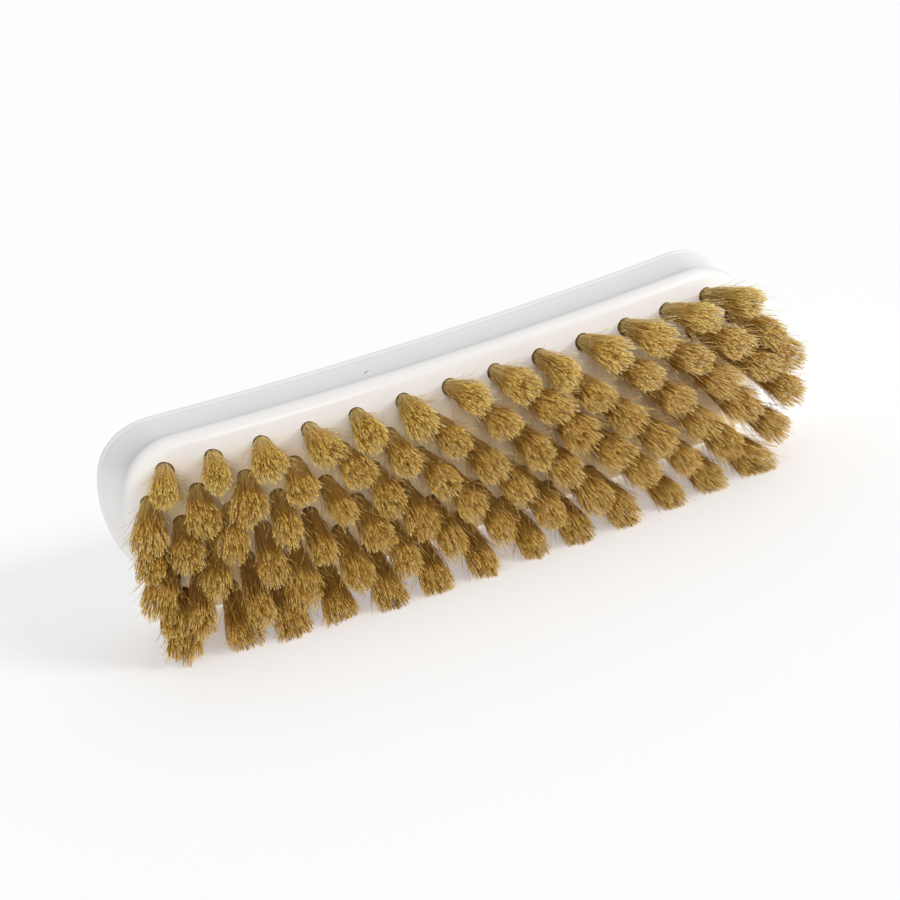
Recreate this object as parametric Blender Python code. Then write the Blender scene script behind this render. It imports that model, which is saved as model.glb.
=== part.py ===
"""Shoe brush lying on its long side, bristles towards -Y, length along X.

A bent plastic block with a finger cove round its sides carries six staggered rows of tufts.
Each crosswise strip of backing holds the strands and roots of its own tufts.
"""
import math
import random

import bmesh
import bpy
from mathutils import Vector

# Block: outline seen from the bristle side. The grip reaches past the bristle slab at both ends.
BLOCK_LENGTH = 0.179
BLOCK_WIDTH = 0.0472
END_OVERHANG = 0.0033
CORNER_RADIUS = 0.013
END_RADIUS = 0.060

# Block: it is bent lengthwise, and the bristle face is domed across
BEND_RADIUS = 0.4616
FACE_DOME_RADIUS = 0.101

# Block: edges and finger cove, depths measured from the middle of the face
FACE_EDGE_RADIUS = 0.0018
SLAB_DEPTH = 0.0066
SLAB_LIP = 0.0009
COVE_INSET = 0.0030
RIM_DEPTH = 0.0239
RIM_LAND = 0.0016
RIM_EDGE_RADIUS = 0.0010
CROWN_RISE = 0.0030
CROWN_INSET = 0.0105

# Depth share along the cove, and the share of its inset there
COVE_SHARES = (
    (0.00, 0.10), (0.05, 0.45), (0.13, 0.80), (0.25, 1.00),
    (0.42, 0.93), (0.62, 0.60), (0.82, 0.22), (1.00, 0.00),
)

# Tufts: the outermost ones stand this far in from the slab's ends and sides
END_TUFT_INSET = 0.0082
SIDE_TUFT_INSET = 0.0061
ROOT_RADIUS = 0.0019
ROOT_DEPTH = 0.0095
BRISTLE_LENGTH = 0.027
CORNER_TUFT_RISE = 0.0015
CORNER_TUFT_SHIFT = 0.0008

# First tuft of each row, in pitches from the first tuft of the top row, and each row's number of tufts.
# The closing tufts fill the rounded ends of rows three and five.
ROW_START_SHARES = (0.0, -0.5, 0.0, -0.5, 0.0, -0.5)
ROW_COUNTS = (13, 14, 13, 14, 13, 13)
CLOSING_SHARE = 0.57
CLOSING_TUFTS = ((2, "left"), (2, "right"), (4, "left"))

# Tufts lean outwards by these shares of their length at the last row and column
END_SPLAY_SHARE = 0.065
SIDE_SPLAY_SHARE = 0.093

# Strands of one tuft
STRANDS = 5
STRAND_SIDES = 3
STRAND_ROOT_RING = 0.00125
STRAND_TIP_RING = 0.0022
STRAND_ROOT_RADIUS = 0.0006
STRAND_TIP_RADIUS = 0.0011
STRAND_TRIM = 0.0007
ROOT_SIDES = 6

# Backing strips let into the face, and the clearance round them and their roots
FIELD_MARGIN = 0.0024
FIELD_END_HALF_WIDTH = 0.008
STRIP_THICKNESS = 0.0020
STRAND_SEAT = 0.0008
GAP = 0.0003
OVERRUN = 0.0020

# Mesh steps
SIDE_STEPS = 12
CORNER_STEPS = 4
END_STEPS = 2
EDGE_STEPS = 3
CROWN_STEPS = 3
CAP_STEPS = 4
STRIP_STEPS = 3

HALF_LENGTH = BLOCK_LENGTH / 2 - END_OVERHANG
HALF_WIDTH = BLOCK_WIDTH / 2
END_CENTRE_X = HALF_LENGTH - END_RADIUS
CORNER_CENTRE_Z = HALF_WIDTH - CORNER_RADIUS
ARC_REACH = END_RADIUS - CORNER_RADIUS
CORNER_CENTRE_X = END_CENTRE_X + math.sqrt(ARC_REACH ** 2 - CORNER_CENTRE_Z ** 2)
END_TURN = math.asin(CORNER_CENTRE_Z / ARC_REACH)
MIDDLE_COLUMN_SHARE = (ROW_COUNTS[0] - 1) / 2
LAST_ROW = len(ROW_COUNTS) - 1
ROOT_TOP = (STRAND_SEAT + STRIP_THICKNESS) / 2
FIRST_COLUMN_SHARE = ROW_START_SHARES[1]
LAST_COLUMN_SHARE = ROW_START_SHARES[1] + ROW_COUNTS[1] - 1
TUFT_PITCH = (HALF_LENGTH - END_TUFT_INSET) / (LAST_COLUMN_SHARE - MIDDLE_COLUMN_SHARE)
ROW_SPACING = (HALF_WIDTH - SIDE_TUFT_INSET) / (LAST_ROW / 2)


def sag(distance, radius):
    """How far an arc of this radius falls away at this distance from its top."""
    return radius - math.sqrt(radius ** 2 - distance ** 2)


def face_depth(z):
    return sag(z, FACE_DOME_RADIUS)


def block_sections():
    """Each section of the block: its inset, its share of the overhang, its depth, whether it is domed."""
    sections = []
    for step in range(EDGE_STEPS + 1):
        angle = math.pi / 2 * step / EDGE_STEPS
        inset = FACE_EDGE_RADIUS * (1 - math.sin(angle))
        sections.append((inset, 0, FACE_EDGE_RADIUS * (1 - math.cos(angle)), True))
    sections.append((0, 0, SLAB_DEPTH - SLAB_LIP, False))
    cove_length = RIM_DEPTH - RIM_EDGE_RADIUS - RIM_LAND - SLAB_DEPTH
    for depth_share, inset_share in COVE_SHARES:
        depth = SLAB_DEPTH + cove_length * depth_share
        sections.append((COVE_INSET * inset_share, depth_share, depth, False))
    for step in range(EDGE_STEPS + 1):
        angle = math.pi / 2 * step / EDGE_STEPS
        inset = RIM_EDGE_RADIUS * (1 - math.cos(angle))
        sections.append((inset, 1, RIM_DEPTH - RIM_EDGE_RADIUS * (1 - math.sin(angle)), False))
    for step in range(1, CROWN_STEPS + 1):
        share = step / CROWN_STEPS
        inset = RIM_EDGE_RADIUS + (CROWN_INSET - RIM_EDGE_RADIUS) * share
        sections.append((inset, 1, RIM_DEPTH + CROWN_RISE * math.sin(math.pi / 2 * share), False))
    return sections


def stretch(reach_share):
    """How much longer than the slab a section is."""
    return 1 + reach_share * END_OVERHANG / HALF_LENGTH


def deepest_back():
    """Depth of the farthest point of the bent back, which lies near its two ends."""
    depths = []
    for inset, reach_share, depth, domed in block_sections():
        depths.append(depth + sag((HALF_LENGTH - inset) * stretch(reach_share), BEND_RADIUS))
    return max(depths)


# The frame's origin is under the middle of the whole brush, from bristle tips to back
MIDDLE_DEPTH = (deepest_back() - BRISTLE_LENGTH) / 2


def place(x, depth, z):
    """A point of the bent brush: x along it, depth behind the face's middle, z above its centre line."""
    return Vector((x, depth + sag(x, BEND_RADIUS) - MIDDLE_DEPTH, z + HALF_WIDTH))


def arc(centre_x, centre_z, radius, start, end, steps):
    points = []
    for step in range(steps + 1):
        angle = start + (end - start) * step / steps
        points.append((centre_x + radius * math.cos(angle), centre_z + radius * math.sin(angle)))
    return points


def half_outline(inset):
    """The upper half of the block's outline, from its right end round to its left end."""
    quarter = arc(END_CENTRE_X, 0, END_RADIUS - inset, 0, END_TURN, END_STEPS)
    corner_radius = CORNER_RADIUS - inset
    corner = arc(CORNER_CENTRE_X, CORNER_CENTRE_Z, corner_radius, END_TURN, math.pi / 2, CORNER_STEPS)
    quarter += corner[1:]
    side = []
    for step in range(1, SIDE_STEPS):
        side.append((CORNER_CENTRE_X * (1 - 2 * step / SIDE_STEPS), HALF_WIDTH - inset))
    mirrored = [(-x, z) for x, z in reversed(quarter)]
    return quarter + side + mirrored


def ring_loop(inset, reach_share):
    """The whole outline as one closed loop."""
    upper = [(x * stretch(reach_share), z) for x, z in half_outline(inset)]
    lower = [(x, -z) for x, z in reversed(upper[1:-1])]
    return upper + lower


def cap(mesh, loop, verts, depth_at):
    """Closes a section with strips that run across the block and follow the given depth."""
    half = len(loop) // 2
    previous = [verts[0]]
    for index in range(1, half + 1):
        if index == half:
            column = [verts[half]]
        else:
            x, top = loop[index]
            column = [verts[index]]
            for step in range(1, CAP_STEPS):
                z = top * (1 - 2 * step / CAP_STEPS)
                column.append(mesh.verts.new(place(x, depth_at(z), z)))
            column.append(verts[-index])
        for step in range(CAP_STEPS):
            corners = [previous[min(step, len(previous) - 1)], column[min(step, len(column) - 1)]]
            for side in (column, previous):
                corner = side[min(step + 1, len(side) - 1)]
                if corner not in corners:
                    corners.append(corner)
            mesh.faces.new(corners)
        previous = column


def finish_mesh(mesh, name, collection):
    """Makes an object of the mesh."""
    data = bpy.data.meshes.new(name)
    mesh.to_mesh(data)
    mesh.free()
    made = bpy.data.objects.new(name, data)
    collection.objects.link(made)
    return made


def make_block(collection):
    """A loft through the block's sections, closed by the domed face and the middle of the back."""
    mesh = bmesh.new()
    rings = []
    loops = []
    for inset, reach_share, depth, domed in block_sections():
        loop = ring_loop(inset, reach_share)
        loops.append(loop)
        rings.append([mesh.verts.new(place(x, depth + domed * face_depth(z), z)) for x, z in loop])
    for upper, lower in zip(rings, rings[1:]):
        for index in range(len(upper)):
            after = (index + 1) % len(upper)
            mesh.faces.new((upper[index], upper[after], lower[after], lower[index]))
    cap(mesh, loops[0], rings[0], face_depth)
    cap(mesh, loops[-1], rings[-1], lambda z: RIM_DEPTH + CROWN_RISE)
    bmesh.ops.recalc_face_normals(mesh, faces=mesh.faces)
    return finish_mesh(mesh, "brush_block", collection)


def field_half_width(x, clearance):
    """Half width of the bristle field at a station along the block."""
    x = abs(x)
    corner_radius = CORNER_RADIUS - FIELD_MARGIN - clearance
    end_radius = END_RADIUS - FIELD_MARGIN - clearance
    if x < CORNER_CENTRE_X:
        return HALF_WIDTH - FIELD_MARGIN - clearance
    if x < CORNER_CENTRE_X + corner_radius * math.cos(END_TURN):
        return CORNER_CENTRE_Z + math.sqrt(corner_radius ** 2 - (x - CORNER_CENTRE_X) ** 2)
    return math.sqrt(end_radius ** 2 - (x - END_CENTRE_X) ** 2)


def field_end(clearance):
    """Where the bristle field is cut off square at its rounded ends."""
    end_radius = END_RADIUS - FIELD_MARGIN
    return END_CENTRE_X + math.sqrt(end_radius ** 2 - FIELD_END_HALF_WIDTH ** 2) - clearance


def face_plate(name, stations, clearance, top, bottom, collection):
    """A plate under the bristle face through these stations, from depth top to depth bottom."""
    mesh = bmesh.new()
    steps = len(stations) - 1
    bmesh.ops.create_grid(mesh, x_segments=steps, y_segments=STRIP_STEPS, size=1)
    for vert in mesh.verts:
        x = stations[round((vert.co.x + 1) / 2 * steps)]
        z = vert.co.y * field_half_width(x, clearance)
        vert.co = place(x, face_depth(z) + top, z)
    lower = bmesh.ops.extrude_face_region(mesh, geom=mesh.faces[:])
    moved = [item for item in lower["geom"] if isinstance(item, bmesh.types.BMVert)]
    bmesh.ops.translate(mesh, verts=moved, vec=(0, bottom - top, 0))
    bmesh.ops.recalc_face_normals(mesh, faces=mesh.faces)
    return finish_mesh(mesh, name, collection)


def spread(start, end, steps):
    return [start + (end - start) * step / steps for step in range(steps + 1)]


def column_stations(column, clearance):
    """Stations across the strip of one tuft column. The end strips reach round the field's ends."""
    middle = (column - MIDDLE_COLUMN_SHARE) * TUFT_PITCH
    half = TUFT_PITCH / 4 - clearance / 2
    if column == FIRST_COLUMN_SHARE:
        return spread(-field_end(clearance), middle + half, CORNER_STEPS)
    if column == LAST_COLUMN_SHARE:
        return spread(middle - half, field_end(clearance), CORNER_STEPS)
    return [middle - half, middle + half]


def tuft_places():
    """Column, x and z of every tuft, with the closing tufts of the rounded ends."""
    tufts = []
    for row, (start_share, count) in enumerate(zip(ROW_START_SHARES, ROW_COUNTS)):
        z = (LAST_ROW / 2 - row) * ROW_SPACING
        for index in range(count):
            along_share = start_share + index
            x = (along_share - MIDDLE_COLUMN_SHARE) * TUFT_PITCH
            if row == LAST_ROW and index == 0:
                tufts.append((along_share, x + CORNER_TUFT_SHIFT, z + CORNER_TUFT_RISE))
            else:
                tufts.append((along_share, x, z))
    for row, side in CLOSING_TUFTS:
        z = (LAST_ROW / 2 - row) * ROW_SPACING
        reach = (MIDDLE_COLUMN_SHARE + CLOSING_SHARE) * TUFT_PITCH
        if side == "left":
            tufts.append((FIRST_COLUMN_SHARE, -reach, z))
        else:
            tufts.append((LAST_COLUMN_SHARE, reach, z))
    return tufts


def tuft_lean(x, z):
    """Sideways travel of a tuft for each unit of its length."""
    lean_x = END_SPLAY_SHARE * x / (MIDDLE_COLUMN_SHARE * TUFT_PITCH)
    lean_z = SIDE_SPLAY_SHARE * z / (LAST_ROW / 2 * ROW_SPACING)
    return lean_x, lean_z


def tapered_rod(mesh, start, end, start_radius, end_radius, sides, turn):
    """A closed tapered rod from a deep point to a nearer one, its section lying in the XZ plane."""
    made = bmesh.ops.create_cone(
        mesh, cap_ends=True, segments=sides, radius1=1, radius2=1, depth=1)
    for vert in made["verts"]:
        at_end = vert.co.z > 0
        centre = end if at_end else start
        radius = end_radius if at_end else start_radius
        angle = math.atan2(vert.co.y, vert.co.x) + turn
        vert.co = centre + Vector((radius * math.cos(angle), 0, radius * math.sin(angle)))


def leaning_point(x, z, depth):
    """The point of a tuft's own axis at this depth under the face, or in front of it where negative."""
    lean_x, lean_z = tuft_lean(x, z)
    base = place(x, face_depth(z), z)
    return base + Vector((-lean_x * depth, depth, -lean_z * depth))


def add_strands(mesh, x, z, chance):
    """The strands of one tuft, seated in the backing and fanning out to their tips."""
    first = chance.uniform(0, math.tau)
    for strand in range(STRANDS):
        angle = first + math.tau * strand / STRANDS
        outwards = Vector((math.cos(angle), 0, math.sin(angle)))
        trim = chance.uniform(0, STRAND_TRIM)
        seat = leaning_point(x, z, STRAND_SEAT) + outwards * STRAND_ROOT_RING
        tip = leaning_point(x, z, trim - BRISTLE_LENGTH) + outwards * STRAND_TIP_RING
        tapered_rod(mesh, seat, tip, STRAND_ROOT_RADIUS, STRAND_TIP_RADIUS, STRAND_SIDES, angle)


def add_root(mesh, x, z, top, depth, radius):
    """The folded root of one tuft, or the hole for it."""
    bottom_point = leaning_point(x, z, depth)
    top_point = leaning_point(x, z, top)
    tapered_rod(mesh, bottom_point, top_point, radius, radius, ROOT_SIDES, 0)


def boolean(target, tool, operation):
    modifier = target.modifiers.new(operation.lower(), "BOOLEAN")
    modifier.operation = operation
    modifier.solver = "EXACT"
    modifier.object = tool
    tool.hide_render = True
    tool.display_type = "WIRE"


def make_material(name, colour, roughness):
    material = bpy.data.materials.new(name)
    material.use_nodes = True
    shader = material.node_tree.nodes["Principled BSDF"]
    shader.inputs["Base Color"].default_value = (*colour, 1)
    shader.inputs["Roughness"].default_value = roughness
    shader.inputs["Metallic"].default_value = 0
    return material


def make_collection(name):
    collection = bpy.data.collections.new(name)
    bpy.context.scene.collection.children.link(collection)
    return collection


def make_strip(number, column, tufts, parts, cutters, material):
    """One crosswise strip of backing with the strands and roots of its tufts."""
    name = f"bristle_strip_{number:02d}"
    stations = column_stations(column, GAP)
    strip = face_plate(name, stations, GAP, 0, STRIP_THICKNESS, parts)
    chance = random.Random(number)
    mesh = bmesh.new()
    for x, z in tufts:
        add_strands(mesh, x, z, chance)
        add_root(mesh, x, z, ROOT_TOP, ROOT_DEPTH - GAP, ROOT_RADIUS)
    tool = finish_mesh(mesh, f"{name}_tufts", cutters)
    boolean(strip, tool, "UNION")
    strip.data.materials.append(material)
    return strip


def make_brush():
    for old in list(bpy.data.objects):
        bpy.data.objects.remove(old, do_unlink=True)
    parts = make_collection("shoe_brush")
    cutters = make_collection("cutters")
    white_plastic = make_material("white_plastic", (0.87, 0.86, 0.85), 0.4)
    bristle = make_material("bristle", (0.50, 0.31, 0.11), 0.7)

    block = make_block(parts)
    block.data.materials.append(white_plastic)
    tufts = tuft_places()
    columns = sorted({column for column, x, z in tufts})
    stations = column_stations(columns[0], 0)
    for column in columns[1:]:
        stations += column_stations(column, 0)[1:]
    pocket = face_plate("pocket", stations, 0, -OVERRUN, STRIP_THICKNESS + GAP, cutters)
    boolean(block, pocket, "DIFFERENCE")

    holes = bmesh.new()
    for column, x, z in tufts:
        add_root(holes, x, z, ROOT_TOP, ROOT_DEPTH, ROOT_RADIUS + GAP)
    boolean(block, finish_mesh(holes, "tuft_holes", cutters), "DIFFERENCE")

    for number, column in enumerate(columns, start=1):
        own = [(x, z) for tuft_column, x, z in tufts if tuft_column == column]
        make_strip(number, column, own, parts, cutters, bristle)


make_brush()
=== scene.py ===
import math

import bmesh
import bpy
import numpy as np
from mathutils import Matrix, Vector


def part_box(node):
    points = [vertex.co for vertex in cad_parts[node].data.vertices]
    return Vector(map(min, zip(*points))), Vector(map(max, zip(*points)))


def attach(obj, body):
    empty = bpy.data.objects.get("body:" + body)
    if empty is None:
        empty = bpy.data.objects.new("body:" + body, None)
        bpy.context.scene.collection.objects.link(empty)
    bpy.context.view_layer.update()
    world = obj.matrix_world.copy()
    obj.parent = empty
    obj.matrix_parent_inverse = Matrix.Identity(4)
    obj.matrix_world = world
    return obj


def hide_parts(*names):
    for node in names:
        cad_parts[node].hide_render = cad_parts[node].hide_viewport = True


# Shoe brush on its long side: one moulded block and 83 tufts of blond bristle

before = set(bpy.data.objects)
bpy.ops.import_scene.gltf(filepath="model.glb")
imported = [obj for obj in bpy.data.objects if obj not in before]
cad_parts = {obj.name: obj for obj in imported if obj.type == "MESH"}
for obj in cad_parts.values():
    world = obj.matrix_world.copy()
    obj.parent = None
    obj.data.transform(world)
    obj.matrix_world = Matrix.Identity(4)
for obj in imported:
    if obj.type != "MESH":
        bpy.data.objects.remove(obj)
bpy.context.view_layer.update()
print("frame loaded:", len(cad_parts), "nodes")

mm = 0.001
blockLow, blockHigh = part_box("brush_block")

block = {
    "bendRadius": 461.6 * mm,      # lengthwise curve, bristle face outwards
    "domeRadius": 101 * mm,        # crosswise crown of the bristle face
    "slabSetback": 3.3 * mm,       # slab's end inside the part's length
    "overhang": (5.0 * mm, 3.0 * mm),      # grip past the slab, at the left and at the right end
    "cornerRadius": 16.5 * mm,
    "endRadius": 38 * mm,
    "reachStart": 5.5 * mm,        # depth where the outline starts to grow towards the grip's ends
    "flank": (                     # inset and depth in mm, share of the face's dome: slab edge, cove, grip
        (2.60, 0.00, 1.00), (1.25, 0.30, 1.00), (0.50, 0.95, 1.00), (0.12, 1.90, 0.95), (0.00, 3.00, 0.75),
        (0.05, 4.20, 0.48), (0.26, 5.60, 0.22), (0.70, 7.20, 0.06), (1.22, 8.90, 0.00), (1.66, 10.8, 0.00),
        (1.86, 12.8, 0.00), (1.76, 15.0, 0.00), (1.48, 17.4, 0.00), (1.02, 19.8, 0.00), (0.62, 21.4, 0.00),
        (0.54, 22.0, 0.00), (0.14, 22.8, 0.00), (0.00, 23.3, 0.00),
    ),
    "edgeSlope": -2.0 * mm,        # inset alone changes at the flank's start, so it leaves the face flush
    "rimDepth": 24.3 * mm,
    "rimEdge": 1.0 * mm,
    "crownRise": 3.0 * mm,         # the back of the grip is slightly crowned
    "crownInset": 10.5 * mm,
    "sideSteps": 70,
    "cornerSteps": 14,
    "endSteps": 12,
    "flankSteps": 4,
    "rimSteps": 7,
    "crownSteps": 9,
    "capSteps": 26,
    "sharpAngle": 35,              # degrees between faces from which an edge shows
}

tufts = {
    "endInset": 8.2 * mm,          # outermost tufts from the slab's end
    "sideInset": 6.1 * mm,         # and from its long side
    "rowStarts": (0.0, -0.5, 0.0, -0.5, 0.0, -0.5),      # in columns of the top row
    "rowCounts": (13, 14, 13, 14, 13, 13),
    "rowShades": (0.0, 0.4, 0.65, 0.8, 0.9, 1.0),      # painted shade: how much darker and redder a row is, as the rows above shade it
    "closingShare": 0.57,          # columns that a closing tuft stands past the last one
    "closingPlaces": ((2, -1), (2, 1), (4, -1)),       # row, counted from 0, and end
    "cornerRise": 1.5 * mm,        # the last row's first tuft moves in from the round corner
    "cornerShift": 0.8 * mm,
    "patternShift": (-0.5 * mm, -0.75 * mm),      # how far the whole pattern sits off the face's middle
    "endSplay": 0.065,             # sideways travel for each unit of length at the last column
    "sideSplay": 0.125,            # and at the outermost rows
    "leftSplay": 0.09,             # the leftmost tufts of the middle rows fan out further
    "leftFrom": 0.25,              # columns past the first one from which they do
    "leanJitter": (0.035, 0.021),      # along and across the brush
    "length": 27 * mm,
    "bundleRadius": 1.84 * mm,
    "bundleSlip": (0.07 * mm, -0.08 * mm),      # out of the hole's middle, so a dark crescent stays above
    "tipRadius": 4.3 * mm,
    "tipSpread": 0.10,             # how much one tuft's tip radius differs from the next
    "flare": 1.15,                 # power of the share of length, so the bundle opens late
    "seatDepth": 2.5 * mm,         # hidden start of the hairs inside the hole
}

halfLength = (blockHigh.x - blockLow.x) / 2 - block["slabSetback"]
halfWidth = (blockHigh.z - blockLow.z) / 2
middleDepth = blockHigh.y - tufts["length"]      # the face's middle lies this far in front of the origin
lastRow = len(tufts["rowCounts"]) - 1
middleColumn = (tufts["rowCounts"][0] - 1) / 2
pitch = (halfLength - tufts["endInset"]) / (middleColumn + 0.5)
rowSpacing = (halfWidth - tufts["sideInset"]) / (lastRow / 2)


# Shapes that several pieces share

def sag(distance, radius):
    return radius - np.sqrt(radius ** 2 - distance ** 2)


def faceDepth(z):
    return sag(z, block["domeRadius"])


def place(x, depth, z):      # along the brush, behind the face's middle, above its centre line
    return Vector((x, depth + sag(x, block["bendRadius"]) - middleDepth, z + halfWidth))


def endToEnd(x, ends):      # a value at x, from its values at the left and at the right end
    return np.interp(x, (-halfLength, halfLength), ends)


def newObject(name, data, collection):
    made = bpy.data.objects.new(name, data)
    collection.objects.link(made)
    return made


def finishMesh(mesh, name, materials, collection):      # an object from a bmesh, with its materials
    data = bpy.data.meshes.new(name)
    mesh.to_mesh(data)
    mesh.free()
    for material in materials:
        data.materials.append(material)
    return newObject(name, data, collection)


def newCollection(name):
    made = bpy.data.collections.new(name)
    bpy.context.scene.collection.children.link(made)
    return made


# Materials

def linear(hexColour):      # an sRGB hex colour as Blender's linear values
    channels = [int(hexColour[i:i + 2], 16) / 255 for i in (1, 3, 5)]
    return (*[c / 12.92 if c <= 0.04045 else ((c + 0.055) / 1.055) ** 2.4 for c in channels], 1)


def addNode(tree, kind, values=None, links=None, **settings):
    node = tree.nodes.new(kind)
    for name, value in settings.items():
        setattr(node, name, value)
    for socket, value in (values or {}).items():
        node.inputs[socket].default_value = value
    for socket, source in (links or {}).items():
        tree.links.new(source, node.inputs[socket])
    return node


def newMaterial(name):
    material = bpy.data.materials.new(name)
    material.use_nodes = True
    return material, material.node_tree, material.node_tree.nodes["Principled BSDF"]


def mouldedPolypropylene():      # white PP from a polished mould: a soft gloss with faint orange peel
    plastic = {
        "colour": "#F5F4F3",
        "shadeColour": "#F1EEEB",      # slight yellowing and dust in patches
        "fieldShadeColour": "#F8E4B8",      # painted warm shade and bounce light from the bristles, on the face between the tufts
        "patchSize": 22 * mm,
        "patchDetail": 3.0,
        "peelSize": 1.6 * mm,
        "peelDetail": 2.0,
        "peelHeight": 0.012 * mm,
        "marks": (                     # two small raised spots on the grip's upper side
            (-17.4 * mm, 11.8 * mm, 45.5 * mm),
            (16.4 * mm, 13.5 * mm, 45.9 * mm),
        ),
        "markRadius": 1.0 * mm,
        "markHeight": (0.50 * mm, 0.16 * mm),
        "roughness": (0.30, 0.42),     # where it is clean and where it is dusty
        "ior": 1.49,
    }
    material, tree, shader = newMaterial("moulded_polypropylene")
    coords = addNode(tree, "ShaderNodeTexCoord").outputs["Object"]
    patchValues = {"Scale": 1 / plastic["patchSize"], "Detail": plastic["patchDetail"]}
    patches = addNode(tree, "ShaderNodeTexNoise", patchValues, {"Vector": coords}).outputs["Fac"]
    clean = {"A": linear(plastic["colour"]), "B": linear(plastic["shadeColour"])}
    dusty = addNode(tree, "ShaderNodeMix", clean, {"Factor": patches}, data_type="RGBA")
    # painted shade and warm bounce light from the bristles, strongest between the tufts
    field = addNode(tree, "ShaderNodeAttribute", attribute_name="paintedTuftShade").outputs["Fac"]
    fieldShade = {"B": linear(plastic["fieldShadeColour"])}
    fieldShadeLinks = {"Factor": field, "A": dusty.outputs["Result"]}
    fieldShaded = addNode(tree, "ShaderNodeMix", fieldShade, fieldShadeLinks, data_type="RGBA")
    tree.links.new(fieldShaded.outputs["Result"], shader.inputs["Base Color"])
    smooth, dull = plastic["roughness"]
    gloss = addNode(tree, "ShaderNodeMapRange", {"To Min": smooth, "To Max": dull}, {"Value": patches})
    tree.links.new(gloss.outputs["Result"], shader.inputs["Roughness"])
    peelValues = {"Scale": 1 / plastic["peelSize"], "Detail": plastic["peelDetail"]}
    height = addNode(tree, "ShaderNodeTexNoise", peelValues, {"Vector": coords}).outputs["Fac"]
    for spot, rise in zip(plastic["marks"], plastic["markHeight"]):
        away = addNode(tree, "ShaderNodeVectorMath", {1: spot}, {0: coords}, operation="DISTANCE")
        mound = {
            "From Min": 0,
            "From Max": plastic["markRadius"],
            "To Min": rise / plastic["peelHeight"],
            "To Max": 0,
        }
        distance = {"Value": away.outputs["Value"]}
        nub = addNode(tree, "ShaderNodeMapRange", mound, distance, interpolation_type="SMOOTHSTEP")
        both = {0: height, 1: nub.outputs["Result"]}
        height = addNode(tree, "ShaderNodeMath", None, both, operation="ADD").outputs["Value"]
    bumpValues = {"Strength": 1.0, "Distance": plastic["peelHeight"]}
    bump = addNode(tree, "ShaderNodeBump", bumpValues, {"Height": height})
    tree.links.new(bump.outputs["Normal"], shader.inputs["Normal"])
    shader.inputs["IOR"].default_value = plastic["ior"]
    return material


def darkHoleWall():      # the same moulded PP down in the tuft holes, dulled by bristle dust and darkened with painted shade of the deep narrow holes
    wall = {
        # dark browns: bristle dust, with painted shade for the deep holes
        "colours": ("#7A5A3C", "#B89A74"),
        "dustSize": 0.8 * mm,
        "dustDetail": 2.0,
        "roughness": 0.85,
    }
    material, tree, shader = newMaterial("dusty_shaded_hole_wall")
    coords = addNode(tree, "ShaderNodeTexCoord").outputs["Object"]
    dustValues = {"Scale": 1 / wall["dustSize"], "Detail": wall["dustDetail"]}
    dust = addNode(tree, "ShaderNodeTexNoise", dustValues, {"Vector": coords})
    ramp = addNode(tree, "ShaderNodeValToRGB", None, {"Fac": dust.outputs["Fac"]})
    for element, colour in zip(ramp.color_ramp.elements, wall["colours"]):
        element.color = linear(colour)
    tree.links.new(ramp.outputs["Color"], shader.inputs["Base Color"])
    shader.inputs["Roughness"].default_value = wall["roughness"]
    return material


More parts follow.
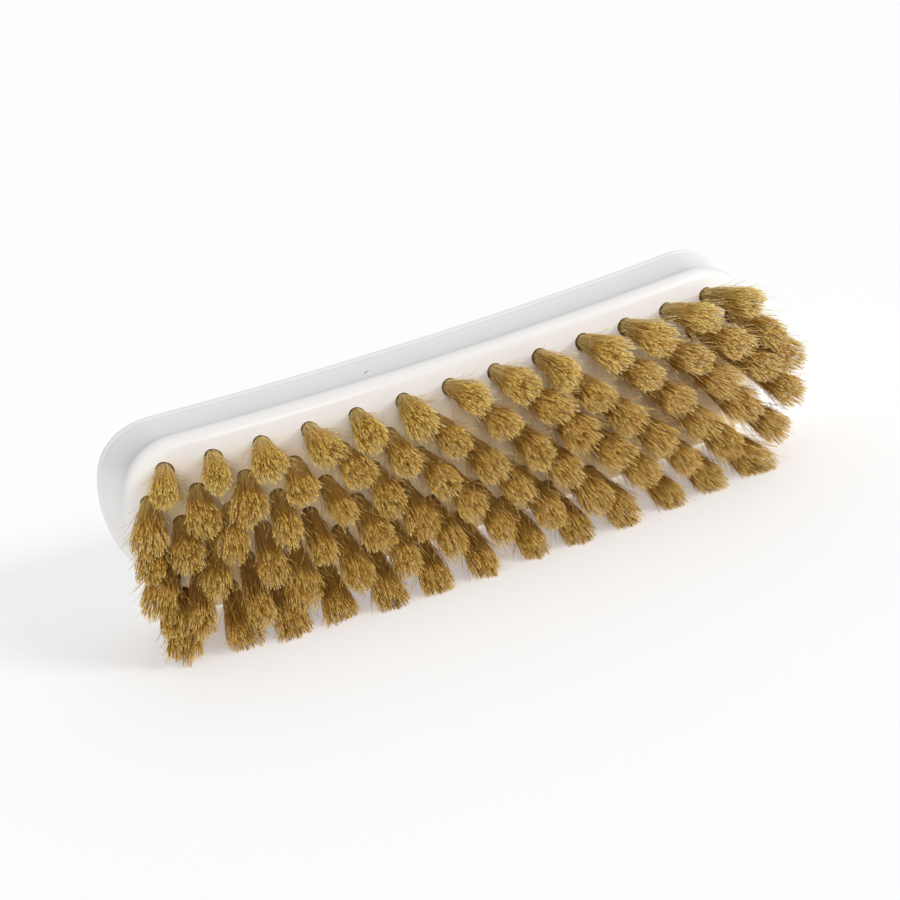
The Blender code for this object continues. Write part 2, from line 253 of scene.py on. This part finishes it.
def trimmedBristle():      # blond animal bristle, washed and trimmed: beige roots and golden cut ends, partly the bristle's own colour and partly painted light and shade
    bristle = {
        "topRow": (                    # root to cut end, as the next one; the bodies are painted lighter and the ends darker against the tuft's own shade, and the band just short of the pale cut ends is painted shade between the hair ends
            (0.0, "#FFE8BA"), (0.45, "#FFD98E"), (0.8, "#F6C464"), (0.965, "#E2B458"), (0.985, "#F0C86C"),
        ),
        # the lower rows, darker and redder: painted shade from the rows above and light filtered through the
        # hair
        "lowRows": (
            (0.0, "#EBA35C"), (0.3, "#FFC069"), (0.6, "#FABC5C"), (0.85, "#CE9442"), (0.965, "#BA8A3A"),
            (0.985, "#CC9E48"),
        ),
        "hairToHair": (                # darkest to lightest hair
            (0.0, "#5A4428"), (0.28, "#BAA072"), (0.48, "#E8DAB2"), (0.7, "#F5ECCA"), (1.0, "#F8F0CE"),
        ),
        "streakSize": 5 * mm,
        "streakDetail": 2.0,
        "streakTone": 0.15,            # how far streaks lighten or darken the hairs
        "roughness": 0.6,
        "specular": 0.08,
        "ior": 1.55,
        "sheen": 0.4,                  # dusty bloom on the fibres
        "sheenRoughness": 0.5,
        "sheenTint": "#FFC870",
        "glow": 1.0,                   # light that passes through the thin hairs
        "glowSpread": (1.0, 1.0, 1.0),
        "glowDepth": 0.6 * mm,
    }
    material, tree, shader = newMaterial("trimmed_bristle")
    tone = addNode(tree, "ShaderNodeAttribute", attribute_name="hairTone").outputs["Fac"]
    along = addNode(tree, "ShaderNodeAttribute", attribute_name="alongHair").outputs["Fac"]
    shadeOfRow = addNode(tree, "ShaderNodeAttribute", attribute_name="rowShade").outputs["Fac"]
    coords = addNode(tree, "ShaderNodeTexCoord").outputs["Object"]
    streakValues = {"Scale": 1 / bristle["streakSize"], "Detail": bristle["streakDetail"]}
    streak = addNode(tree, "ShaderNodeTexNoise", streakValues, {"Vector": coords}).outputs["Fac"]
    change = {"To Min": -bristle["streakTone"], "To Max": bristle["streakTone"]}
    offset = addNode(tree, "ShaderNodeMapRange", change, {"Value": streak})
    streaked = {0: tone, 1: offset.outputs["Result"]}
    mixed = addNode(tree, "ShaderNodeMath", None, streaked, operation="ADD").outputs["Value"]
    shades = {}
    for name, factor in (("hairToHair", mixed), ("topRow", along), ("lowRows", along)):
        ramp = addNode(tree, "ShaderNodeValToRGB", None, {"Fac": factor})
        elements = ramp.color_ramp.elements
        while len(elements) < len(bristle[name]):
            elements.new(0.5)
        for element, (position, hexColour) in zip(elements, bristle[name]):
            element.position = position
            element.color = linear(hexColour)
        shades[name] = ramp.outputs["Color"]
    # painted shade: the lower rows take the darker, redder ramp
    rows = {"Factor": shadeOfRow, "A": shades["topRow"], "B": shades["lowRows"]}
    rowColour = addNode(tree, "ShaderNodeMix", None, rows, data_type="RGBA").outputs["Result"]
    pair = {"A": rowColour, "B": shades["hairToHair"]}
    colour = addNode(tree, "ShaderNodeMix", {"Factor": 1.0}, pair, data_type="RGBA", blend_type="MULTIPLY")
    tree.links.new(colour.outputs["Result"], shader.inputs["Base Color"])
    shader.inputs["Roughness"].default_value = bristle["roughness"]
    shader.inputs["Specular IOR Level"].default_value = bristle["specular"]
    shader.inputs["IOR"].default_value = bristle["ior"]
    shader.inputs["Sheen Weight"].default_value = bristle["sheen"]
    shader.inputs["Sheen Roughness"].default_value = bristle["sheenRoughness"]
    shader.inputs["Sheen Tint"].default_value = linear(bristle["sheenTint"])
    shader.inputs["Subsurface Weight"].default_value = bristle["glow"]
    shader.inputs["Subsurface Radius"].default_value = bristle["glowSpread"]
    shader.inputs["Subsurface Scale"].default_value = bristle["glowDepth"]
    return material


def paintedFloor():      # matt white paint without gloss, whose faint glow keeps it as white as the sky
    paint = {
        "colour": "#F6F6F5",
        "roughness": 0.9,
        "glowColour": "#FFFFFF",
        "glow": 0.27,
    }
    material, _, shader = newMaterial("painted_floor")
    shader.inputs["Base Color"].default_value = linear(paint["colour"])
    shader.inputs["Roughness"].default_value = paint["roughness"]
    shader.inputs["Emission Color"].default_value = linear(paint["glowColour"])
    shader.inputs["Emission Strength"].default_value = paint["glow"]
    return material


# Where the tufts stand

def tuftPlaces():      # name, row, strip number, x and z of every tuft
    places = []
    for row, (start, count) in enumerate(zip(tufts["rowStarts"], tufts["rowCounts"])):
        for index in range(count):
            column = start + index
            x = (column - middleColumn) * pitch
            z = (lastRow / 2 - row) * rowSpacing
            if row == lastRow and index == 0:
                x += tufts["cornerShift"]
                z += tufts["cornerRise"]
            strip = round(2 * column) + 2      # one for each half column
            places.append((f"tuft_{row + 1}_{index + 1:02d}", row, strip, x, z))
    for row, end in tufts["closingPlaces"]:
        x = end * (middleColumn + tufts["closingShare"]) * pitch
        strip = 1 if end < 0 else 2 * tufts["rowCounts"][1] - 1
        name = f"tuft_{row + 1}_{'start' if end < 0 else 'end'}"
        places.append((name, row, strip, x, (lastRow / 2 - row) * rowSpacing))
    alongShift, upShift = tufts["patternShift"]
    return [(name, row, strip, x + alongShift, z + upShift) for name, row, strip, x, z in places]


def tuftLean(x, z):      # sideways travel for each unit of length
    leanX = tufts["endSplay"] * x / (middleColumn * pitch)
    leanZ = tufts["sideSplay"] * z / (lastRow / 2 * rowSpacing)
    if x < -(middleColumn + tufts["leftFrom"]) * pitch:
        leanX -= tufts["leftSplay"] * math.cos(math.pi / 2 * z / halfWidth)
    return leanX, leanZ


# The block

def arc(centreX, centreZ, radius, start, end, steps):
    angles = [start + (end - start) * step / steps for step in range(steps + 1)]
    return [(centreX + radius * math.cos(a), centreZ + radius * math.sin(a)) for a in angles]


def outline(inset, reach):      # closed, drawn in by inset and stretched by reach towards the grip's ends
    endX = halfLength - block["endRadius"]
    cornerZ = halfWidth - block["cornerRadius"]
    swing = block["endRadius"] - block["cornerRadius"]
    cornerX = endX + math.sqrt(swing ** 2 - cornerZ ** 2)
    turn = math.asin(cornerZ / swing)
    quarter = arc(endX, 0, block["endRadius"] - inset, 0, turn, block["endSteps"])
    corner = arc(cornerX, cornerZ, block["cornerRadius"] - inset, turn, math.pi / 2, block["cornerSteps"])
    quarter += corner[1:]
    steps = block["sideSteps"]
    side = [(cornerX * (1 - 2 * step / steps), halfWidth - inset) for step in range(1, steps)]
    upper = quarter + side + [(-x, z) for x, z in reversed(quarter)]
    left, right = [1 + reach * overhang / halfLength for overhang in block["overhang"]]
    upper = [(x * (right if x > 0 else left), z) for x, z in upper]
    return upper + [(x, -z) for x, z in reversed(upper[1:-1])]


def flankPoints():      # smooth cubic curve through the flank's points
    table = np.array(block["flank"]) * (mm, mm, 1)
    slopes = np.gradient(table, axis=0)
    slopes[0] = (block["edgeSlope"], 0, 0)
    points = []
    for i in range(len(table) - 1):
        for step in range(block["flankSteps"]):
            t = step / block["flankSteps"]
            start = (2 * t ** 3 - 3 * t ** 2 + 1) * table[i] + (t ** 3 - 2 * t ** 2 + t) * slopes[i]
            end = (3 * t ** 2 - 2 * t ** 3) * table[i + 1] + (t ** 3 - t ** 2) * slopes[i + 1]
            points.append([float(value) for value in start + end])
    return points


def blockSections():      # inset, reach share, depth, and how far the depth follows the domed face
    sections = []
    grown = block["rimDepth"] - block["rimEdge"] - block["reachStart"]
    for inset, depth, domed in flankPoints():
        share = min(max((depth - block["reachStart"]) / grown, 0), 1)
        sections.append((inset, share, depth, domed))
    for step in range(block["rimSteps"] + 1):
        angle = math.pi / 2 * step / block["rimSteps"]
        inset = block["rimEdge"] * (1 - math.cos(angle))
        sections.append((inset, 1, block["rimDepth"] - block["rimEdge"] * (1 - math.sin(angle)), 0))
    for step in range(1, block["crownSteps"] + 1):
        share = step / block["crownSteps"]
        inset = block["rimEdge"] + (block["crownInset"] - block["rimEdge"]) * share
        sections.append((inset, 1, block["rimDepth"] + block["crownRise"] * math.sin(math.pi / 2 * share), 0))
    return sections


def capLoop(mesh, loop, verts, depthAt):      # closes a section with strips across the block
    half = len(loop) // 2
    steps = block["capSteps"]
    previous = [verts[0]]
    for index in range(1, half + 1):
        column = [verts[index]]
        if index < half:
            x, top = loop[index]
            for step in range(1, steps):
                z = top * (1 - 2 * step / steps)
                column.append(mesh.verts.new(place(x, depthAt(z), z)))
            column.append(verts[-index])
        for step in range(steps):
            corners = [previous[min(step, len(previous) - 1)], column[min(step, len(column) - 1)]]
            for side in (column, previous):
                corner = side[min(step + 1, len(side) - 1)]
                if corner not in corners:
                    corners.append(corner)
            mesh.faces.new(corners)
        previous = column


def blockBody(materials, collection):      # the moulded body before its holes are cut
    mesh = bmesh.new()
    rings = []
    loops = []
    for inset, reach, depth, domed in blockSections():
        loop = outline(inset, reach)
        loops.append(loop)
        rings.append([mesh.verts.new(place(x, depth + domed * faceDepth(z), z)) for x, z in loop])
    for front, back in zip(rings, rings[1:]):
        for index in range(len(front)):
            after = (index + 1) % len(front)
            mesh.faces.new((front[index], front[after], back[after], back[index]))
    capLoop(mesh, loops[0], rings[0], faceDepth)
    capLoop(mesh, loops[-1], rings[-1], lambda z: block["rimDepth"] + block["crownRise"])
    bmesh.ops.recalc_face_normals(mesh, faces=mesh.faces)
    return finishMesh(mesh, "brush_block_body", materials, collection)


hole = {
    "radius": 2.02 * mm,
    "depth": 9.5 * mm,
    "chamfer": 0.15 * mm,
    "sides": 32,
    "overrun": 0.6 * mm,           # how far the cutter stands out of the face
}


def holeCutter(places, materials, collection):      # all blind holes, each with a chamfer at its mouth
    mesh = bmesh.new()
    profile = (
        (-hole["overrun"], hole["radius"] + hole["chamfer"] + hole["overrun"]),
        (hole["chamfer"], hole["radius"]),
        (hole["depth"], hole["radius"]),
    )
    turns = [math.tau * side / hole["sides"] for side in range(hole["sides"])]
    for *_, x, z in places:
        leanX, leanZ = tuftLean(x, z)
        base = place(x, faceDepth(z), z)
        rings = []
        for depth, radius in profile:
            centre = base + Vector((-leanX * depth, depth, -leanZ * depth))
            arms = [Vector((radius * math.cos(angle), 0, radius * math.sin(angle))) for angle in turns]
            rings.append([mesh.verts.new(centre + arm) for arm in arms])
        for front, back in zip(rings, rings[1:]):
            for side in range(hole["sides"]):
                after = (side + 1) % hole["sides"]
                mesh.faces.new((front[side], front[after], back[after], back[side]))
        mesh.faces.new(list(reversed(rings[0])))
        mesh.faces.new(rings[-1])
    bmesh.ops.recalc_face_normals(mesh, faces=mesh.faces)
    # the hole walls take the second material, dust with painted shade
    for face in mesh.faces:
        face.material_index = 1
    return finishMesh(mesh, "hole_cutter", materials, collection)


def cutHoles(body, cutter):
    cut = body.modifiers.new("holes", "BOOLEAN")
    cut.operation = "DIFFERENCE"
    cut.solver = "EXACT"
    cut.object = cutter
    bpy.context.view_layer.update()
    evaluated = body.evaluated_get(bpy.context.evaluated_depsgraph_get())
    finished = bpy.data.meshes.new_from_object(evaluated)
    body.modifiers.clear()
    body.data = finished
    bpy.data.objects.remove(cutter, do_unlink=True)


paintedTuftShade = {                      # where the face gets painted shade and warm bounce light, at the left and at the right end; it reaches higher at the left, away from the light
    "top": (20 * mm, 15 * mm),     # its upper edge above the centre line
    "full": (10 * mm, 5 * mm),     # and where it reaches full strength
    "endInset": 5 * mm,            # its ends inside the slab's
    "endFade": 6 * mm,
    "depth": 4 * mm,               # no point further behind the face is shaded
}


def markPaintedTuftShade(data):      # how much painted shade each point of the block gets
    spots = np.empty(len(data.vertices) * 3, np.float32)
    data.vertices.foreach_get("co", spots)
    x, y, z = spots.reshape(-1, 3).T
    top, full = [endToEnd(x, paintedTuftShade[edge]) for edge in ("top", "full")]
    fieldShade = np.clip((top - (z - halfWidth)) / (top - full), 0, 1)
    fieldShade *= np.clip((halfLength - paintedTuftShade["endInset"] - np.abs(x)) / paintedTuftShade["endFade"], 0, 1)
    fieldShade *= y + middleDepth - sag(x, block["bendRadius"]) < paintedTuftShade["depth"]
    attribute = data.attributes.new("paintedTuftShade", "FLOAT", "POINT")
    attribute.data.foreach_set("value", fieldShade.astype(np.float32))


def makeBlock(places, materials, collection):
    body = blockBody(materials, collection)
    cutHoles(body, holeCutter(places, materials, collection))
    markPaintedTuftShade(body.data)
    body.data.shade_smooth()
    body.data.set_sharp_from_angle(angle=math.radians(block["sharpAngle"]))
    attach(body, "root")
    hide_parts("brush_block")
    print("block:", len(body.data.polygons), "faces")


# The tufts

hair = {
    "count": 460,
    "sides": 3,
    "steps": 4,
    "radius": 0.085 * mm,
    "radiusSpread": 0.25,
    "taper": 0.85,                 # radius at the cut end beside the one at the root
    "spotJitter": 0.035,           # off an even spiral, beside the bundle's radius
    "clumps": 75,                  # locks in which a tuft's hairs gather
    "clumpStart": 0.1,             # share of the tuft's area, round its middle, without a lock's centre
    "clumpPull": (0.12, 0.4),      # how far towards that centre a hair's tip moves
    "tipStretch": (0.85, 1.15),
    "strayShare": 0.28,
    "strayThin": 0.7,              # a stray hair's thickness beside the others'
    "strayReach": (1.48 * mm, 3.7 * mm),
    "strayShort": 5 * mm,          # a stray hair may end this much earlier
    "wave": 0.28 * mm,             # one bend along a hair
    "secondWave": 0.168 * mm,      # and an S-shaped one
    "cutUneven": 1.3 * mm,
    "roundedCut": 0.4 * mm,        # the outermost hairs end this much earlier
    "slant": 0.6 * mm,             # how far a tuft's cut is out of square
    "clumpUneven": 0.9 * mm,
    "tuftUneven": 0.6 * mm,
    "toneMiddle": (0.44, 0.52),    # at the left and at the right end, as the next two; painted light: the hairs are lighter and more even towards the right, where the light comes from
    "toneSpread": (0.12, 0.05),
    "lockSpread": (0.17, 0.12),
    "topRowLight": 0.17,               # painted light: how much lighter the top row's hairs are, as the light reaches them first
}


def hairLines(chance, tipRadius, leanX, leanZ):      # centre lines from the hole to the cut ends
    count = hair["count"]
    order = np.arange(count) + 0.5
    radius = np.sqrt(order / count)
    angle = order * math.pi * (3 - math.sqrt(5)) + chance.uniform(0, math.tau)      # golden angle
    spot = np.stack([radius * np.cos(angle), radius * np.sin(angle)], 1)
    spot += chance.normal(0, hair["spotJitter"], spot.shape)
    clumpAngle = chance.uniform(0, math.tau, hair["clumps"])
    clumpRadius = np.sqrt(chance.uniform(hair["clumpStart"], 1, hair["clumps"]))
    clumps = np.stack([clumpRadius * np.cos(clumpAngle), clumpRadius * np.sin(clumpAngle)], 1)
    lock = np.argmin(((spot[:, None] - clumps[None]) ** 2).sum(2), 1)
    pull = chance.uniform(*hair["clumpPull"], (count, 1))
    tip = (spot * (1 - pull) + clumps[lock] * pull) * tipRadius * chance.uniform(*hair["tipStretch"], 2)
    stray = chance.random(count) < hair["strayShare"]
    strayAngle = chance.uniform(0, math.tau, count)
    strayReach = chance.uniform(*hair["strayReach"], count) * stray
    strayMove = np.stack([np.cos(strayAngle), np.sin(strayAngle)], 1) * strayReach[:, None]
    bend = chance.normal(0, hair["wave"], (count, 2))
    second = chance.normal(0, hair["secondWave"], (count, 2))
    length = tufts["length"] - np.abs(chance.normal(0, hair["cutUneven"], count))
    length -= hair["roundedCut"] * radius ** 2
    length -= stray * chance.uniform(0, hair["strayShort"], count)
    length -= np.abs(spot @ chance.normal(0, hair["slant"], 2))
    length -= np.abs(chance.normal(0, hair["clumpUneven"], hair["clumps"]))[lock]
    length -= abs(chance.normal(0, hair["tuftUneven"]))
    slipX, slipZ = tufts["bundleSlip"]
    root = spot * tufts["bundleRadius"]
    lines = np.zeros((count, hair["steps"] + 2, 3))
    lines[:, 0, 0] = root[:, 0] + (slipX - leanX * tufts["seatDepth"])
    lines[:, 0, 1] = tufts["seatDepth"]
    lines[:, 0, 2] = root[:, 1] + (slipZ - leanZ * tufts["seatDepth"])
    for ring, share in enumerate(np.linspace(0, 1, hair["steps"] + 1), 1):
        fan = share ** tufts["flare"]
        across = root * (1 - fan) + tip * fan
        across += strayMove * share ** 2
        across += bend * math.sin(math.pi * share)
        across += second * math.sin(math.tau * share)
        out = length * share
        lines[:, ring, 0] = across[:, 0] + leanX * out + slipX
        lines[:, ring, 1] = -out
        lines[:, ring, 2] = across[:, 1] + leanZ * out + slipZ
    return lines, lock, stray


def hairTones(chance, x, row, lock):      # lightness of each hair, part of it shared by its lock, with painted light from row to row and from left to right
    names = ("toneMiddle", "toneSpread", "lockSpread")
    middle, toneSpread, lockSpread = [endToEnd(x, hair[name]) for name in names]
    tone = chance.normal(middle, toneSpread, hair["count"])
    tone += chance.normal(0, lockSpread, hair["clumps"])[lock]
    tone += hair["topRowLight"] * (1 - tufts["rowShades"][row])
    return np.clip(tone, 0, 1)


def hairSkin(chance, lines, stray):      # the hairs as thin three-sided rods with closed ends
    count, rings, _ = lines.shape
    sides = hair["sides"]
    thickness = chance.uniform(1 - hair["radiusSpread"], 1 + hair["radiusSpread"], (count, 1, 1))
    thickness *= hair["radius"]
    thickness *= np.where(stray, hair["strayThin"], 1)[:, None, None]
    taper = np.linspace(1.0, hair["taper"], rings)[None, :, None]
    turn = chance.uniform(0, math.tau, count)[:, None] + np.arange(sides) * math.tau / sides
    around = np.stack([np.cos(turn), np.zeros_like(turn), np.sin(turn)], 2)
    points = lines[:, :, None] + around[:, None] * (thickness * taper)[..., None]
    side = np.arange(sides)
    after = (side + 1) % sides
    first = np.arange(count)[:, None] * rings * sides
    ring = first[:, :, None] + np.arange(rings - 1)[:, None] * sides
    quads = np.stack([ring + side, ring + sides + side, ring + sides + after, ring + after], 3)
    ends = first + (rings - 1) * sides + side[::-1]
    starts = first + side
    return points.reshape(-1, 3).tolist(), quads.reshape(-1, 4).tolist() + ends.tolist() + starts.tolist()


core = {
    "share": 0.9,                  # its radius beside the bundle's
    "length": 0.74,                # beside the hairs'
    "sides": 36,
    "steps": 8,
    "ripple": 0.02,
    "endPower": 6,                 # its far end is rounded over
    "endShare": 0.9,
    "tone": (0.36, 0.2),           # middle and spread, darker than the hairs: painted shade deep inside the bundle
}


def bundleCore(tipRadius, leanX, leanZ, firstPoint):      # a tuft's packed middle, hidden by its hairs
    points = []
    faces = []
    along = []
    sides = core["sides"]
    steps = core["steps"]
    slipX, slipZ = tufts["bundleSlip"]
    for step in range(steps + 1):
        share = core["length"] * step / steps
        fan = share ** tufts["flare"]
        radius = core["share"] * (tufts["bundleRadius"] * (1 - fan) + tipRadius * fan)
        radius *= math.sqrt(1 - (step / steps) ** core["endPower"] * core["endShare"])
        out = tufts["length"] * share - tufts["seatDepth"] * (step == 0)
        for side in range(sides):
            angle = math.tau * side / sides
            reach = radius * (1 + core["ripple"] * (-1) ** side)
            x = reach * math.cos(angle) + leanX * out + slipX
            z = reach * math.sin(angle) + leanZ * out + slipZ
            points.append((x, -out, z))
            along.append(share)
    for step in range(steps):
        near = firstPoint + step * sides
        far = near + sides
        for side in range(sides):
            after = (side + 1) % sides
            faces.append((near + side, far + side, far + after, near + after))
    faces.append([firstPoint + side for side in range(sides)])
    faces.append([firstPoint + steps * sides + side for side in reversed(range(sides))])
    return points, faces, along


bakeMap = {                        # a column of the map for each hair, in it a row for each of its sides
    "hairEdges": (0.08, 0.92),     # where in its column a hair lies
    "rowEdge": 0.02,               # strip at each end of a row, for the hair's closed ends
    "capRows": (0.3, 0.7),         # where the corners of a closed end lie in that strip, in turn
    "coreSpot": 0.5,               # the whole core takes the colour of the map's middle
}


def bakeSpots(count, rings, coreFaces):      # a spot in the map for each face's corners
    sides = hair["sides"]
    low, high = bakeMap["hairEdges"]
    edge = bakeMap["rowEdge"]
    column = np.arange(count)[:, None]
    side = np.arange(sides)
    step = np.arange(rings - 1)[:, None, None] + np.array([0, 1, 1, 0])
    across = (column[:, :, None, None] + np.array([low, low, high, high])) / count
    upward = (side[:, None] + edge + (1 - 2 * edge) * step / (rings - 1)) / sides
    capAcross = (column + np.linspace(low, high, sides)) / count
    capUp = edge * np.array(bakeMap["capRows"])[side % 2]
    spots = []
    for pair in ((across, upward), (capAcross, (1 - capUp) / sides), (capAcross, capUp / sides)):
        spots.append(np.stack(np.broadcast_arrays(*pair), -1).reshape(-1, 2))
    spots.append(np.full((sum(len(face) for face in coreFaces), 2), bakeMap["coreSpot"]))
    return np.concatenate(spots)


def makeTuft(name, row, strip, x, z, number, material, collection):
    chance = np.random.default_rng(number)
    alongJitter, acrossJitter = tufts["leanJitter"]
    leanX, leanZ = tuftLean(x, z)
    leanX += chance.normal(0, alongJitter)
    leanZ += chance.normal(0, acrossJitter)
    tipRadius = tufts["tipRadius"] * chance.uniform(1 - tufts["tipSpread"], 1 + tufts["tipSpread"])
    lines, lock, stray = hairLines(chance, tipRadius, leanX, leanZ)
    tone = hairTones(chance, x, row, lock)
    base = place(x, faceDepth(z), z)
    lines[:, :, 2] = np.maximum(lines[:, :, 2], hair["radius"] - base.z)      # no hair goes under the floor
    points, faces = hairSkin(chance, lines, stray)
    corePoints, coreFaces, coreAlong = bundleCore(tipRadius, leanX, leanZ, len(points))
    data = bpy.data.meshes.new(name)
    data.from_pydata(points + corePoints, [], faces + coreFaces)
    count, rings, _ = lines.shape
    tone = np.repeat(tone, rings * hair["sides"])
    # the core's darker tone is painted shade
    tone = np.append(tone, np.tile(chance.normal(*core["tone"], core["sides"]), core["steps"] + 1))
    along = np.append(np.tile(np.repeat(np.linspace(0, 1, rings), hair["sides"]), count), coreAlong)
    # painted shade for each row, for the material
    depth = np.full(len(along), tufts["rowShades"][row])
    for label, values in (("hairTone", tone), ("alongHair", along), ("rowShade", depth)):
        attribute = data.attributes.new(label, "FLOAT", "POINT")
        attribute.data.foreach_set("value", values.astype(np.float32))
    spots = bakeSpots(count, rings, coreFaces)
    data.uv_layers.new(name="OFBake").data.foreach_set("uv", spots.ravel().astype(np.float32))
    data.shade_smooth()
    data.materials.append(material)
    tuft = newObject(name, data, collection)
    tuft.location = base
    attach(tuft, "root")
    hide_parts(f"bristle_strip_{strip:02d}")


# Floor, light and camera

studio = {
    "floorRadius": 6.0,
    "floorSides": 64,
    "skyColour": "#FFFFFF",
    "skyStrength": (0.34, 0.70),      # at the left and at the right
    "cameraPlace": (-66.3 * mm, -341.2 * mm, 166.7 * mm),
    "cameraTurn": (66.90, 13.24, -15.91),      # degrees, as the lamps' angles
    "lens": 60,                    # millimetres, as the sensor's width
    "sensor": 36,
    "clipStart": 10 * mm,
    "lampColour": "#FBFDFF",
    "keyFrom": (1.00, -0.90, 0.70),      # soft key from the right, in front and above
    "keyAngle": 16,
    "keyStrength": 1.0,
    "fillFrom": (-0.10, -1.00, 0.42),      # beside the camera, so the gaps between the tufts aren't black
    "fillAngle": 14,
    "fillStrength": 0.98,
}


def makeFloor(scene):
    mesh = bmesh.new()
    bmesh.ops.create_circle(mesh, cap_ends=True, segments=studio["floorSides"], radius=studio["floorRadius"])
    finishMesh(mesh, "studio_floor", [paintedFloor()], scene.collection)


def makeSky(scene):      # an even sky that is brighter at the right
    world = bpy.data.worlds.new("studio_world")
    world.use_nodes = True
    tree = world.node_tree
    background = tree.nodes["Background"]
    background.inputs["Color"].default_value = linear(studio["skyColour"])
    coords = addNode(tree, "ShaderNodeTexCoord").outputs["Generated"]
    across = addNode(tree, "ShaderNodeSeparateXYZ", None, {"Vector": coords}).outputs["X"]
    left, right = studio["skyStrength"]
    reach = {"From Min": -1, "From Max": 1, "To Min": left, "To Max": right}
    sky = addNode(tree, "ShaderNodeMapRange", reach, {"Value": across})
    tree.links.new(sky.outputs["Result"], background.inputs["Strength"])
    scene.world = world


def makeLamps(scene):
    for name in ("key", "fill"):
        lamp = bpy.data.lights.new(name, "SUN")
        lamp.angle = math.radians(studio[name + "Angle"])
        lamp.energy = studio[name + "Strength"]
        lamp.color = linear(studio["lampColour"])[:3]
        light = newObject(name, lamp, scene.collection)
        light.location = studio[name + "From"]
        light.rotation_euler = Vector(studio[name + "From"]).to_track_quat("Z", "Y").to_euler()


def makeCamera(scene):
    camera = bpy.data.cameras.new("camera")
    camera.lens = studio["lens"]
    camera.sensor_width = studio["sensor"]
    camera.clip_start = studio["clipStart"]
    made = newObject("camera", camera, scene.collection)
    made.location = studio["cameraPlace"]
    made.rotation_euler = [math.radians(angle) for angle in studio["cameraTurn"]]
    scene.camera = made


brush = newCollection("shoe_brush")
places = tuftPlaces()
makeBlock(places, (mouldedPolypropylene(), darkHoleWall()), brush)
bristle = trimmedBristle()
for number, (name, row, strip, x, z) in enumerate(places):
    makeTuft(name, row, strip, x, z, number, bristle, brush)
print("tufts:", len(places))

scene = bpy.context.scene
scene.view_settings.view_transform = "Standard"
makeFloor(scene)
makeSky(scene)
makeLamps(scene)
makeCamera(scene)
print("studio ready")
